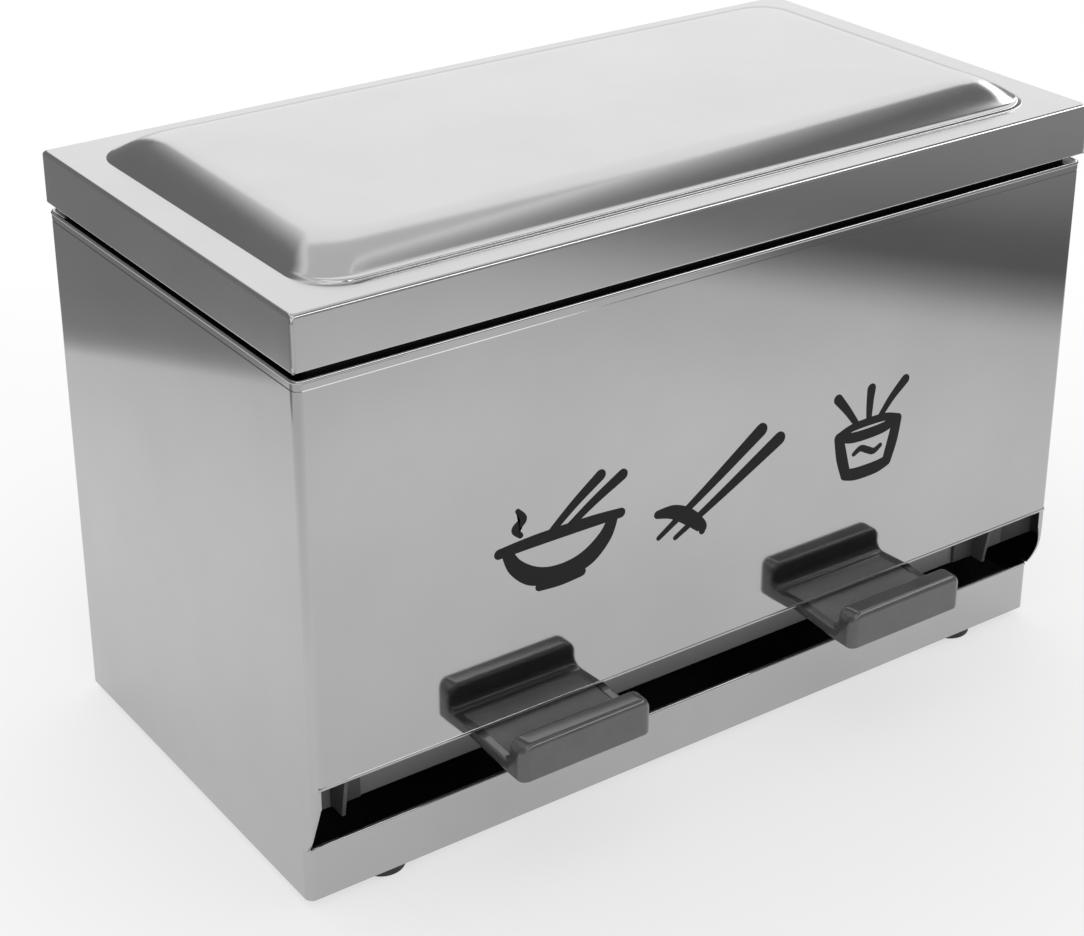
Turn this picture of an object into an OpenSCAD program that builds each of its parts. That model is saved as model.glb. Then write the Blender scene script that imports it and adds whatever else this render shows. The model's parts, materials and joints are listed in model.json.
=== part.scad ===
// Chopstick holder with a flip lid and two press levers
// Millimetres, +Z up, front face towards -Y, origin under the middle of the whole outline

/* [Body] */
// Width of the body, left to right
body_w = 278; // [240:1:320]
// Depth of the body, front panel to back
body_d = 146; // [130:1:180]
// Height of the body walls above the underside of the base
body_h = 161.6; // [130:0.2:200]
// Thickness of the steel sheet
sheet = 0.8; // [0.6:0.1:1.2]
// Outer radius of the vertical bends
bend_r = 2.5; // [1.5:0.5:4]
// Height of the plinth below the slot
plinth_h = 17.2; // [12:0.2:22]
// How far the plinth lies behind the front panel
plinth_back = 6; // [3:0.5:9]
// Height of the open slot between plinth and front panel
slot_h = 22.5; // [18:0.5:28]
// Straight length of the side edges below the front panel
edge_drop = 5.7; // [3:0.1:9]
// Width of the side flanges that hold the back panel
back_flange = 10; // [6:1:16]
// Distance of the hem line below the top edge
hem_line = 3; // [2:0.5:5]
// Height of the turned-up edges of the base pan
pan_flange = 10; // [6:1:14]

/* [Lid] */
// Height of the lid's straight sides
lid_h = 16; // [12:0.5:24]
// Gap that shows between the body and the closed lid
lid_gap = 2.4; // [2:0.1:5]
// How far the lid stands out past the body on each side
lid_overhang = 0.5; // [0:0.1:1.5]
// Edge radius of the lid's pan
lid_edge_r = 1.2; // [1:0.1:2]
// Inset of the raised panel from the left and right edges
panel_inset_x = 12.7; // [9:0.1:20]
// Inset of the raised panel from the front and back edges
panel_inset_y = 9.4; // [6:0.1:16]
// Height of the step round the raised panel
step_h = 1; // [0.6:0.1:1.4]
// Width of the step round the raised panel
step_w = 2; // [1.4:0.1:3]
// Height of the raised panel above the lid's rim
dome_h = 7.5; // [6:0.1:9.5]
// Corner radius of the raised panel, seen from above
dome_corner_r = 10; // [10:0.5:16]
// Inset of the neck under the lid from the body's outer face
neck_inset = 3; // [2.4:0.2:6]
// Length of the neck's skirt inside the body
neck_skirt = 10; // [6:1:16]

/* [Lid hinges] */
// Distance of the hinges' middles from the body's sides
hinge_inset = 59; // [40:1:80]
// Width of one hinge
hinge_w = 40; // [30:1:50]
// Thickness of a hinge leaf
leaf_t = 1; // [0.8:0.1:1.4]
// Height of the leaf on the body
body_leaf_h = 22; // [16:1:30]
// Outer radius of the knuckles
knuckle_r = 2.5; // [2.2:0.1:3]
// Radius of the hinge pins
hinge_pin_r = 1.2; // [1:0.1:1.4]
// Radius of the rivet shanks
rivet_r = 1.2; // [1:0.1:1.5]
// Radius of the rivet heads
rivet_head_r = 2.2; // [1.8:0.1:2.6]

/* [Hopper] */
// Gap between the front panel's face and the hopper's folded lip
lip_back = 18.3; // [17:0.1:22]
// Height of the bottom edge of the folded lip
lip_bottom = 19; // [16:0.5:24]
// Height of the hopper floor at its front edge
hopper_front_z = 40; // [39:0.5:44]
// Slope of the hopper floor
hopper_slope = 12; // [6:1:16]
// Depth of the hopper floor's turned-down edges
hopper_flange = 8; // [5:1:12]

/* [Press levers] */
// Distance of the levers' middles from the body's sides, before the pair is shifted
lever_inset = 79; // [60:1:84]
// Sideways place of the pair of levers
lever_shift = -4; // [-10:1:10]
// Width of a lever
lever_w = 45; // [36:0.2:50]
// Gap between the front panel's bottom edge and the lever's floor
lever_gap = 1.2; // [0.6:0.1:2]
// Slope of the lever's floor down towards its lip
lever_slope = 3.5; // [0:0.5:5]
// How far the lever's lip stands out from the front panel
lever_reach = 22; // [18:0.5:26]
// Thickness of the lever's upright lip
lever_lip_t = 7; // [5:0.2:9]
// Height of the lip above the lever's floor
lever_lip_h = 8.1; // [6:0.1:11]
// Thickness of the lever's floor
lever_floor_t = 3.3; // [2.5:0.1:4]
// Corner radius of the lip, seen from the front
lever_corner_r = 3.4; // [3:0.2:5]
// Edge radius of the lip
lever_edge_r = 1.5; // [0.8:0.1:2]
// Radius of the hollow between lip and floor
lever_fillet = 3; // [2:0.2:4]
// Depth of the shallow pocket in the lever's floor
pocket_depth = 0.4; // [0.2:0.1:0.8]
// Inset of the pocket from the lever's sides
pocket_inset = 2.8; // [2:0.2:5]
// Width of the lever's rear finger
finger_w = 12; // [8:1:16]
// Length of the finger behind the pivot
finger_len = 17; // [14:0.5:19]
// Thickness of the ribs below the lever
rib_t = 1.6; // [1.2:0.1:2.4]

/* [Lever pivot] */
// Distance of the pivot rod behind the front panel
rod_back = 13.5; // [12.5:0.1:14.5]
// Drop of the pivot rod below the front panel's bottom edge
rod_drop = 6.5; // [6.2:0.1:7.5]
// Radius of the pivot rod
rod_r = 1.5; // [1.2:0.1:1.7]
// Outer radius of the lever's hub
hub_r = 3.4; // [3:0.1:3.8]
// Length of the lever's hub
hub_len = 28; // [20:1:30]
// Distance of the rod brackets from the body's sides
bracket_inset = 16; // [11:1:24]
// Thickness of the rod brackets
bracket_t = 1.2; // [1:0.1:1.6]
// Wire diameter of the return springs
wire_d = 0.6; // [0.5:0.05:0.7]
// Turns of each return spring
spring_turns = 5; // [3:1:6]
// Height of each turn along the rod
spring_pitch = 0.75; // [0.72:0.01:0.8]
// Radius of the retaining clips
clip_r = 2.4; // [2.2:0.1:2.6]
// Thickness of the retaining clips
clip_t = 0.6; // [0.5:0.1:0.8]

/* [Feet] */
// Height of the rubber feet
foot_h = 3; // [2:0.5:5]
// Radius of the rubber feet
foot_r = 7; // [5:0.5:8]
// Distance of the foot centres from the body's sides
foot_inset_x = 28; // [16:1:40]
// Distance of the foot centres from the plinth and the back
foot_inset_y = 7.6; // [7:0.2:20]
// Radius of the foot screws
screw_r = 1.5; // [1.2:0.1:2]
// Radius of the washers under the screw heads
washer_r = 5; // [4:0.5:6]

/* [Fits] */
// Gap between parts that rest on each other
rest_gap = 0.3; // [0.2:0.05:0.4]
// Radial running clearance of pins and rods
run_gap = 0.05; // [0.03:0.01:0.08]
// Radial clearance of rivets, screws and clips
fix_gap = 0.03; // [0.02:0.01:0.05]
// Side gap between knuckles and beside turning parts
side_gap = 0.3; // [0.2:0.05:0.5]
// Gap beside the lever's finger in its slot
finger_gap = 1; // [0.6:0.1:1.5]

/* [Hidden] */
$fn = 64;

steel = [0.78, 0.78, 0.79];
dark_steel = [0.45, 0.45, 0.46];
dark_plastic = [0.16, 0.16, 0.17];
rubber = [0.07, 0.07, 0.07];

// Small amount by which a cut runs past the face it opens
past = 1;

// Hinge axis, measured from the body's back face and the base underside
knuckle_out = lid_overhang + rest_gap + knuckle_r;
body_top = foot_h + body_h;
lid_bottom = body_top + lid_gap;
lid_top = lid_bottom + lid_h;
lid_w = body_w + 2 * lid_overhang;
lid_d = body_d + 2 * lid_overhang;

// Depth to which the raised panel's blocks run down into the lid's block
sunk_h = 4;

// Places along Y: the whole outline is centred on the origin
front_y = -(lever_reach + body_d + knuckle_out + knuckle_r) / 2 + lever_reach;
back_y = front_y + body_d;
middle_y = (front_y + back_y) / 2;
plinth_y = front_y + plinth_back;
pin_y = back_y + knuckle_out;
pin_z = (body_top + lid_bottom) / 2;

// Heights of the slot
slot_bottom = foot_h + plinth_h;
slot_top = slot_bottom + slot_h;

// Radius of the arc that carries the side edge back to the plinth
edge_arc_h = slot_h - edge_drop;
edge_arc_x = plinth_back - sheet;
edge_arc_r = (edge_arc_h * edge_arc_h + edge_arc_x * edge_arc_x) / (2 * edge_arc_x);

// Inner faces
inner_w = body_w - 2 * sheet;
inner_back_y = back_y - 2 * sheet;

// Levers and pivot
lever_xs = [lever_shift - body_w / 2 + lever_inset, lever_shift + body_w / 2 - lever_inset];
rod_y = front_y + rod_back;
rod_z = slot_top - rod_drop;
hopper_y = front_y + lip_back;
hopper_z = foot_h + hopper_front_z;
finger_y = rod_y + finger_len;
finger_slot_y = finger_y + finger_gap;
bracket_x = body_w / 2 - bracket_inset;
rod_tail = 1.2;
rod_end = bracket_x + bracket_t + side_gap + clip_t + rod_tail;
hub_end = hub_len / 2;
coil_x = hub_end + side_gap + wire_d / 2;
coil_len = spring_turns * spring_pitch;
coil_clear = 0.3;
coil_r = rod_r + coil_clear + wire_d / 2;
leg_angle = 20;
leg_len = 10;
leg_hole_r = wire_d / 2 + coil_clear;
leg_through = 1.5;
lever_clips = [-hub_end - side_gap - clip_t, hub_end + 2 * side_gap + coil_len + wire_d];
groove_depth = 0.3;
floor_clear = 0.9;

// Depth to which ribs and hub run up into the lever's floor
sunk = 0.5;

// Lip of a lever: its front and back faces, its underside and its top
lip_y = front_y - lever_reach;
trough_y = lip_y + lever_lip_t;
floor_end = hopper_y - floor_clear;
lip_base = lever_floor(lip_y) - lever_floor_t;
lip_top = lever_floor(trough_y) + lever_lip_h;

// Hinges
hinge_xs = [-body_w / 2 + hinge_inset, body_w / 2 - hinge_inset];
outer_knuckle = hinge_w * 0.3;
body_leaf_y = back_y - sheet;
body_leaf_bottom = body_top - body_leaf_h;
lid_leaf_top = lid_top - lid_edge_r - leaf_t;
leaf_edge = 5;
rivet_head_h = 0.7;

// Feet
foot_xs = [-body_w / 2 + foot_inset_x, body_w / 2 - foot_inset_x];
foot_ys = [plinth_y + foot_inset_y, back_y - foot_inset_y - foot_r];
screw_head_r = 3;
screw_head_h = 1.8;
washer_t = 0.8;
screw_depth = foot_h - 1;

// Rectangle with true arcs at its corners
module rounded_rect(w, d, r) {
    square([w - 2 * r, d], center = true);
    square([w, d - 2 * r], center = true);
    for (sx = [-1, 1], sy = [-1, 1])
        translate([sx * (w / 2 - r), sy * (d / 2 - r)])
            circle(r);
}

// Upright wall between two rounded rectangles
module frame_wall(w, d, r, wall, z0, z1) {
    translate([0, 0, z0])
        linear_extrude(z1 - z0)
            difference() {
                rounded_rect(w, d, r);
                rounded_rect(w - 2 * wall, d - 2 * wall, max(r - wall, 0.2));
            }
}

// Section of a slab w wide and h high, its two top corners rounded by r
module slab_section(w, h, r) {
    translate([-w / 2, 0])
        square([w, h - r]);
    translate([-w / 2 + r, 0])
        square([w - 2 * r, h]);
    for (s = [-1, 1])
        translate([s * (w / 2 - r), h - r])
            circle(r);
}

// Block from z = 0 to h, corners rc in plan and its top edge rounded by re
module pillow(w, d, h, rc, re) {
    long = w - 2 * rc;
    deep = d - 2 * rc;
    side_profile(long)
        slab_section(d, h, re);
    translate([0, deep / 2, 0])
        rotate([90, 0, 0])
            linear_extrude(deep)
                slab_section(w, h, re);
    for (a = [0 : 3])
        rotate(90 * a)
            translate([(a % 2 == 0 ? long : deep) / 2, (a % 2 == 0 ? deep : long) / 2, 0])
                rotate_extrude(angle = 90)
                    intersection() {
                        slab_section(2 * rc, h, re);
                        square([rc, h]);
                    }
}

// Profile in the Y-Z plane, pushed along X about the middle
module side_profile(w) {
    translate([-w / 2, 0, 0])
        rotate([90, 0, 90])
            linear_extrude(w)
                children();
}

// Cut that opens the slot and shapes the curved side edges
module slot_cut() {
    side_profile(body_w + 2 * past)
        difference() {
            translate([front_y - past, slot_bottom])
                square([plinth_back + past, slot_h]);
            translate([front_y + sheet, slot_top - edge_drop - past])
                square([plinth_back, edge_drop + 2 * past]);
            translate([front_y + sheet + edge_arc_r, slot_top - edge_drop])
                circle(edge_arc_r, $fn = 128);
        }
}

// Holes for one row of hinge rivets, through the sheet at height z
module rivet_holes(z, y) {
    for (hx = hinge_xs, dx = [-1, 1])
        translate([hx + dx * (hinge_w / 2 - leaf_edge), y, z])
            rotate([90, 0, 0])
                cylinder(h = 4 * past + 2 * leaf_t, r = rivet_r + fix_gap, center = true);
}

// Heights of the rivet rows on the two leaves
body_rivet_z = body_leaf_bottom + leaf_edge;
lid_rivet_z = lid_leaf_top - leaf_edge;

// Front panel, sides and plinth, one welded and ground sheet
module body_shell() {
    color(steel)
        difference() {
            union() {
                translate([0, middle_y, 0])
                    frame_wall(body_w, body_d, bend_r, sheet, slot_bottom, body_top);
                translate([0, (plinth_y + back_y) / 2, 0])
                    frame_wall(body_w, back_y - plinth_y, bend_r, sheet, foot_h, slot_bottom);
            }
            slot_cut();
            back_window();
            hem_groove();
        }
}

// Opening of the shell's back, between its two side flanges
module back_window() {
    translate([-body_w / 2 + back_flange, back_y - 2 * sheet, foot_h - past])
        cube([body_w - 2 * back_flange, 4 * sheet, body_h + 2 * past]);
}

// Shallow line pressed round the body below the top hem
module hem_groove() {
    depth = 0.2;
    height = 0.5;
    translate([0, middle_y, body_top - hem_line])
        linear_extrude(height)
            difference() {
                rounded_rect(body_w + 2 * past, body_d + 2 * past, bend_r);
                rounded_rect(body_w - 2 * depth, body_d - 2 * depth, bend_r - depth);
            }
}

// Flat back, held behind the shell's side flanges
module back_panel() {
    color(steel)
        difference() {
            translate([-body_w / 2 + bend_r, back_y - 2 * sheet, foot_h])
                cube([body_w - 2 * bend_r, sheet, body_h - sheet]);
            rivet_holes(body_rivet_z, back_y - sheet);
        }
}

// Floor of the body, a shallow tray with turned-up edges
module base_pan() {
    pan_d = inner_back_y - plinth_y - sheet;
    pan_y = (plinth_y + sheet + inner_back_y) / 2;
    color(steel)
        difference() {
            union() {
                translate([0, pan_y, foot_h])
                    linear_extrude(sheet)
                        rounded_rect(inner_w, pan_d, bend_r - sheet);
                translate([0, pan_y, 0])
                    frame_wall(inner_w, pan_d, bend_r - sheet, sheet, foot_h, foot_h + pan_flange);
            }
            for (x = foot_xs, y = foot_ys)
                translate([x, y, foot_h - past])
                    cylinder(h = sheet + 2 * past, r = screw_r + fix_gap);
        }
}

// Neck that stiffens the mouth and carries the closed lid
module neck_frame() {
    neck_w = body_w - 2 * neck_inset;
    neck_d = body_d - 2 * neck_inset;
    neck_top = lid_top - sheet - rest_gap;
    skirt_d = inner_back_y - front_y - sheet;
    skirt_y = (inner_back_y + front_y + sheet) / 2;
    ledge_z = body_top - sheet;
    color(steel) {
        difference() {
            translate([0, skirt_y, ledge_z])
                linear_extrude(sheet)
                    rounded_rect(inner_w, skirt_d, bend_r - sheet);
            translate([0, middle_y, ledge_z - past])
                linear_extrude(sheet + 2 * past)
                    rounded_rect(neck_w - 2 * sheet, neck_d - 2 * sheet, bend_r);
        }
        translate([0, middle_y, 0])
            frame_wall(neck_w, neck_d, bend_r + sheet, sheet, ledge_z, neck_top);
        translate([0, skirt_y, 0])
            frame_wall(inner_w, skirt_d, bend_r - sheet, sheet, ledge_z - neck_skirt, ledge_z);
    }
}

// Height of the hopper floor's upper face at a place along Y
function hopper_top(y) = hopper_z + (y - hopper_y) * tan(hopper_slope);

// Sloping floor that the chopsticks lie on, with its lip folded down at the front
module hopper_floor() {
    drop = sheet / cos(hopper_slope);
    back_z = hopper_top(inner_back_y);
    lip_z = foot_h + lip_bottom;
    color(dark_steel)
        difference() {
            union() {
                side_profile(inner_w)
                    polygon([[hopper_y, lip_z], [hopper_y + sheet, lip_z],
                        [hopper_y + sheet, hopper_top(hopper_y + sheet) - drop],
                        [inner_back_y - sheet, hopper_top(inner_back_y - sheet) - drop],
                        [inner_back_y - sheet, back_z - hopper_flange],
                        [inner_back_y, back_z - hopper_flange],
                        [inner_back_y, back_z], [hopper_y, hopper_z]]);
                for (s = [-1, 1])
                    translate([s * (inner_w - sheet) / 2, 0, 0])
                        side_profile(sheet)
                            polygon([[hopper_y, hopper_z], [hopper_y, hopper_z - hopper_flange],
                                [inner_back_y, back_z - hopper_flange], [inner_back_y, back_z]]);
            }
            for (x = lever_xs) {
                finger_slot(x);
                leg_hole(x);
            }
        }
}

// Slot that a lever's finger rises through
module finger_slot(x) {
    slot_w = finger_w + 2 * finger_gap;
    translate([x - slot_w / 2, hopper_y - past, rod_z - hub_r])
        cube([slot_w, finger_slot_y - hopper_y + past, hopper_top(finger_slot_y) - rod_z + hub_r + past]);
}

// Hole that holds the fixed leg of a return spring
module leg_hole(x) {
    translate([x + coil_x, hopper_y, rod_z - coil_r])
        rotate([90, 0, 0])
            cylinder(h = 4 * sheet, r = leg_hole_r, center = true);
}

// Pan lid with a raised panel, hollow below
module lid() {
    panel_w = lid_w - 2 * panel_inset_x;
    panel_d = lid_d - 2 * panel_inset_y;
    color(steel)
        difference() {
            lid_form(0, panel_w, panel_d);
            lid_form(sheet, panel_w, panel_d);
            rivet_holes(lid_rivet_z, back_y + lid_overhang);
        }
}

// The lid as a solid block, drawn in by the sheet for its hollow
module lid_form(inset, panel_w, panel_d) {
    below = inset > 0 ? past : 0;
    edge = max(lid_edge_r - inset, 0.3);
    corner = edge + 0.3;
    step_r = (inset > 0 ? 0.6 : 0.9) * step_h;
    dome_base = lid_top - sunk_h;
    translate([0, middle_y, lid_bottom - below])
        pillow(lid_w - 2 * inset, lid_d - 2 * inset, lid_h - inset + below, corner, edge);
    translate([0, middle_y, dome_base])
        pillow(panel_w - 2 * inset, panel_d - 2 * inset, sunk_h + step_h - inset,
            dome_corner_r + step_w - inset, step_r);
    translate([0, middle_y, dome_base])
        pillow(panel_w - 2 * step_w - 2 * inset, panel_d - 2 * step_w - 2 * inset,
            sunk_h + dome_h - inset, dome_corner_r - inset, dome_h - inset);
}

// One knuckle ring about the hinge axis
module knuckle(x, len) {
    translate([x, pin_y, pin_z])
        rotate([0, 90, 0])
            cylinder(h = len, r = knuckle_r, center = true);
}

// Bore for the hinge pin
module pin_bore(x) {
    translate([x, pin_y, pin_z])
        rotate([0, 90, 0])
            cylinder(h = hinge_w + 2 * past, r = hinge_pin_r + run_gap, center = true);
}

// Leaf riveted to the back panel, with the two outer knuckles
module hinge_body_leaf(x) {
    bend_z = pin_z - knuckle_r - leaf_edge;
    color(dark_steel)
        difference() {
            union() {
                translate([x - hinge_w / 2, body_leaf_y, body_leaf_bottom])
                    cube([hinge_w, leaf_t, bend_z + leaf_t - body_leaf_bottom]);
                for (s = [-1, 1])
                    translate([x + s * (hinge_w - outer_knuckle) / 2, 0, 0]) {
                        side_profile(outer_knuckle)
                            polygon([[body_leaf_y, bend_z], [body_leaf_y + leaf_t, bend_z],
                                [pin_y, pin_z - knuckle_r], [pin_y, pin_z],
                                [pin_y - knuckle_r, pin_z], [body_leaf_y, pin_z - knuckle_r]]);
                        knuckle(0, outer_knuckle);
                    }
            }
            pin_bore(x);
            rivet_holes(body_rivet_z, back_y - sheet);
        }
}

// Leaf riveted to the lid's back, with the middle knuckle
module hinge_lid_leaf(x) {
    leaf_y = back_y + lid_overhang;
    middle_knuckle = hinge_w - 2 * outer_knuckle - 2 * side_gap;
    leaf_z = pin_z + knuckle_r + side_gap;
    color(dark_steel)
        difference() {
            union() {
                translate([x - hinge_w / 2, leaf_y, leaf_z])
                    cube([hinge_w, leaf_t, lid_leaf_top - leaf_z]);
                translate([x, 0, 0])
                    side_profile(middle_knuckle)
                        polygon([[leaf_y, leaf_z + leaf_t], [leaf_y + leaf_t, leaf_z + leaf_t],
                            [pin_y, pin_z + knuckle_r], [pin_y, pin_z],
                            [pin_y - knuckle_r, pin_z], [leaf_y, leaf_z - leaf_t]]);
                knuckle(x, middle_knuckle);
            }
            pin_bore(x);
            rivet_holes(lid_rivet_z, leaf_y);
        }
}

// Hinge pin with an upset head at each end
module hinge_pin(x) {
    head_h = 0.8;
    head_r = hinge_pin_r + head_h;
    color(steel)
        translate([x, pin_y, pin_z])
            rotate([0, 90, 0]) {
                cylinder(h = hinge_w + 2 * side_gap + 2 * head_h, r = hinge_pin_r, center = true);
                for (s = [-1, 1])
                    translate([0, 0, s * (hinge_w / 2 + side_gap + head_h / 2)])
                        cylinder(h = head_h, r = head_r, center = true);
            }
}

// Rivets through a stack of sheet and leaf, heads on both faces
module rivets(z, inner_y, outer_y) {
    color(dark_steel)
        for (hx = hinge_xs, dx = [-1, 1])
            translate([hx + dx * (hinge_w / 2 - leaf_edge), 0, z])
                rotate([-90, 0, 0]) {
                    translate([0, 0, inner_y - rivet_head_h])
                        cylinder(h = outer_y - inner_y + 2 * rivet_head_h, r = rivet_r);
                    translate([0, 0, outer_y])
                        cylinder(h = rivet_head_h, r1 = rivet_head_r, r2 = rivet_r);
                    translate([0, 0, inner_y - rivet_head_h])
                        cylinder(h = rivet_head_h, r1 = rivet_r, r2 = rivet_head_r);
                }
}

module body_rivets() {
    rivets(body_rivet_z, back_y - 2 * sheet, body_leaf_y + leaf_t);
}

module lid_rivets() {
    rivets(lid_rivet_z, back_y + lid_overhang - sheet, back_y + lid_overhang + leaf_t);
}

// Height of the lever's floor at a place along Y
function lever_floor(y) = slot_top - lever_gap + (y - front_y) * tan(lever_slope);

// Moulded lever: lip to press, trough for a pair, hub on the rod and a rear finger
module press_lever(x) {
    color(dark_plastic)
        translate([x, 0, 0])
            difference() {
                union() {
                    intersection() {
                        side_profile(lever_w)
                            lever_section();
                        lever_front_outline();
                    }
                    lever_hub();
                    lever_finger();
                    for (dx = [-1, 0, 1])
                        translate([dx * (hub_end - rib_t / 2), 0, 0])
                            lever_rib();
                }
                translate([0, rod_y, rod_z])
                    rotate([0, 90, 0])
                        cylinder(h = lever_w + 2 * past, r = rod_r + run_gap, center = true);
                lever_pocket();
                lever_corner_cuts();
            }
}

// Section of the upright lip and sloping floor, with a hollow fillet between them
module lever_section() {
    r = lever_edge_r;
    back_root = lever_floor(trough_y) - sunk;
    fillet_y = trough_y + lever_fillet;
    translate([lip_y, lip_base + r])
        square([lever_lip_t, lip_top - lip_base - 2 * r]);
    translate([lip_y + r, lip_top - 2 * r])
        square([lever_lip_t - 2 * r, 2 * r]);
    polygon([[lip_y + r, lip_base], [trough_y, lip_base],
        [floor_end, lever_floor(floor_end) - lever_floor_t], [floor_end, lever_floor(floor_end)],
        [lip_y + r, lever_floor(lip_y + r)]]);
    translate([lip_y + r, lip_base + r])
        circle(r);
    for (y = [lip_y + r, trough_y - r])
        translate([y, lip_top - r])
            circle(r);
    difference() {
        translate([trough_y - sunk, back_root])
            square([lever_fillet + sunk, lever_fillet + sunk]);
        translate([fillet_y, lever_floor(fillet_y) + lever_fillet])
            circle(lever_fillet);
    }
}

// Front outline of the lever, its top corners rounded
module lever_front_outline() {
    r = lever_corner_r;
    z0 = lip_base - past;
    deep = floor_end - lip_y + 2 * past;
    translate([0, floor_end + past, 0])
        rotate([90, 0, 0])
            linear_extrude(deep) {
                translate([-lever_w / 2, z0])
                    square([lever_w, lip_top - z0 - r]);
                translate([-lever_w / 2 + r, z0])
                    square([lever_w - 2 * r, lip_top - z0]);
                for (s = [-1, 1])
                    translate([s * (lever_w / 2 - r), lip_top - r])
                        circle(r);
            }
}

// Cuts that round the lip's front corners, seen from above
module lever_corner_cuts() {
    r = lever_edge_r;
    for (s = [-1, 1])
        translate([s * (lever_w / 2 - r), lip_y + r, lip_base - past])
            linear_extrude(lip_top - lip_base + 2 * past)
                difference() {
                    translate([s > 0 ? 0 : -r - past, -r - past])
                        square([r + past, r + past]);
                    circle(r);
                }
}

// Hub about the pivot rod, blended up into the floor
module lever_hub() {
    hub_front = rod_y - hub_r;
    side_profile(hub_len)
        union() {
            translate([rod_y, rod_z])
                circle(hub_r);
            translate([hub_front, rod_z])
                square([2 * hub_r, lever_floor(hub_front) - lever_floor_t - rod_z + sunk]);
        }
}

// Finger that rises behind the released pair
module lever_finger() {
    root_z = rod_z - hub_r + 0.6;
    tip_z = hopper_top(finger_y) - 0.6;
    tip_h = 2.5;
    bevel = 0.9;
    side_profile(finger_w)
        polygon([[rod_y, root_z], [hopper_y + bevel, root_z + bevel],
            [finger_y - tip_h, tip_z - 2 * tip_h], [finger_y, tip_z - tip_h], [finger_y, tip_z - bevel],
            [finger_y - bevel, tip_z], [floor_end, lever_floor(floor_end)],
            [rod_y, lever_floor(rod_y) - sunk]]);
}

// Tapered stiffening rib from the hub to the lip
module lever_rib() {
    root_z = rod_z - hub_r + 0.4;
    tip_h = 0.4;
    side_profile(rib_t)
        polygon([[rod_y, root_z], [rod_y, lever_floor(rod_y) - lever_floor_t + sunk],
            [trough_y - 4 * sunk, lip_base + sunk], [trough_y, lip_base - tip_h]]);
}

// Shallow pocket in the trough's sloping floor
module lever_pocket() {
    y0 = trough_y + lever_fillet + pocket_depth;
    y1 = floor_end - pocket_inset;
    corner = 1.5;
    middle = (y0 + y1) / 2;
    translate([0, middle, lever_floor(middle) - pocket_depth])
        rotate([lever_slope, 0, 0])
            linear_extrude(pocket_depth + past)
                rounded_rect(lever_w - 2 * pocket_inset, y1 - y0, corner);
}

// Rod that both levers turn on, grooved for its clips
module pivot_rod() {
    color(steel)
        translate([0, rod_y, rod_z])
            rotate([0, 90, 0])
                difference() {
                    cylinder(h = 2 * rod_end, r = rod_r, center = true);
                    for (cx = clip_xs)
                        translate([0, 0, cx - fix_gap])
                            difference() {
                                cylinder(h = clip_t + 2 * fix_gap, r = rod_r + past);
                                translate([0, 0, -past])
                                    cylinder(h = clip_t + 2 * past, r = rod_r - groove_depth);
                            }
                }
}

// Left face of every clip along the rod
clip_xs = concat([-bracket_x - bracket_t - side_gap - clip_t, bracket_x + bracket_t + side_gap],
    [for (x = lever_xs, c = lever_clips) x + c]);

// Open retaining clips in the rod's grooves
module rod_clips() {
    color(dark_steel)
        for (cx = clip_xs)
            translate([cx, rod_y, rod_z])
                rotate([0, 90, 0])
                    difference() {
                        cylinder(h = clip_t, r = clip_r);
                        translate([0, 0, -past])
                            cylinder(h = clip_t + 2 * past, r = rod_r - groove_depth + fix_gap);
                        translate([0, -rod_r + groove_depth, -past])
                            cube([clip_r + past, 2 * (rod_r - groove_depth), clip_t + 2 * past]);
                    }
}

// Bracket that carries one end of the rod in front of the hopper's lip
module rod_bracket(side) {
    ear_r = 4;
    flange_w = 8;
    toe_y = hopper_y - 6.5;
    toe_h = 1;
    bottom = foot_h + lip_bottom + 0.5;
    top = rod_z + ear_r;
    color(steel)
        difference() {
            union() {
                translate([side * (bracket_x + bracket_t / 2), 0, 0])
                    side_profile(bracket_t)
                        union() {
                            translate([rod_y, rod_z])
                                circle(ear_r);
                            polygon([[hopper_y, bottom], [hopper_y, top], [rod_y, top],
                                [rod_y - ear_r, rod_z], [toe_y, bottom + toe_h], [toe_y, bottom]]);
                        }
                translate([side * (bracket_x - flange_w / 2 + bracket_t / 2), hopper_y - bracket_t / 2,
                    (top + bottom) / 2])
                    cube([flange_w + bracket_t, bracket_t, top - bottom], center = true);
            }
            translate([side * bracket_x, rod_y, rod_z])
                rotate([0, 90, 0])
                    cylinder(h = 4 * bracket_t, r = rod_r + run_gap, center = true);
        }
}

// Points of a return spring: fixed leg, coil, then the leg under the lever
spring_steps = 12;
coil_points = [for (i = [0 : spring_turns * spring_steps])
    let (a = i * 360 / spring_steps)
        [coil_len * i / (spring_turns * spring_steps), -coil_r * sin(a), -coil_r * cos(a)]];
leg_rise = [for (a = [leg_angle / 2, leg_angle])
    [coil_len, -coil_r * sin(a), -coil_r * cos(a)]];
leg_tip = [coil_len, -coil_r * sin(leg_angle) - leg_len * cos(leg_angle),
    -coil_r * cos(leg_angle) + leg_len * sin(leg_angle)];
leg_start = [0, hopper_y - rod_y + sheet + leg_through, -coil_r];
spring_points = concat([leg_start], coil_points, leg_rise, [leg_tip]);

function unit(v) = v / norm(v);

// Direction of the spring's wire at point i
function spring_way(i) = let (n = len(spring_points) - 1)
    unit(spring_points[min(i + 1, n)] - spring_points[max(i - 1, 0)]);

// One ring of points round the wire
function wire_ring(i, sides) =
    let (t = spring_way(i), x = [1, 0, 0], u = unit(x - (x * t) * t), v = cross(t, u))
        [for (k = [0 : sides - 1])
            spring_points[i] + wire_d / 2 * (cos(360 * k / sides) * u + sin(360 * k / sides) * v)];

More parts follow.
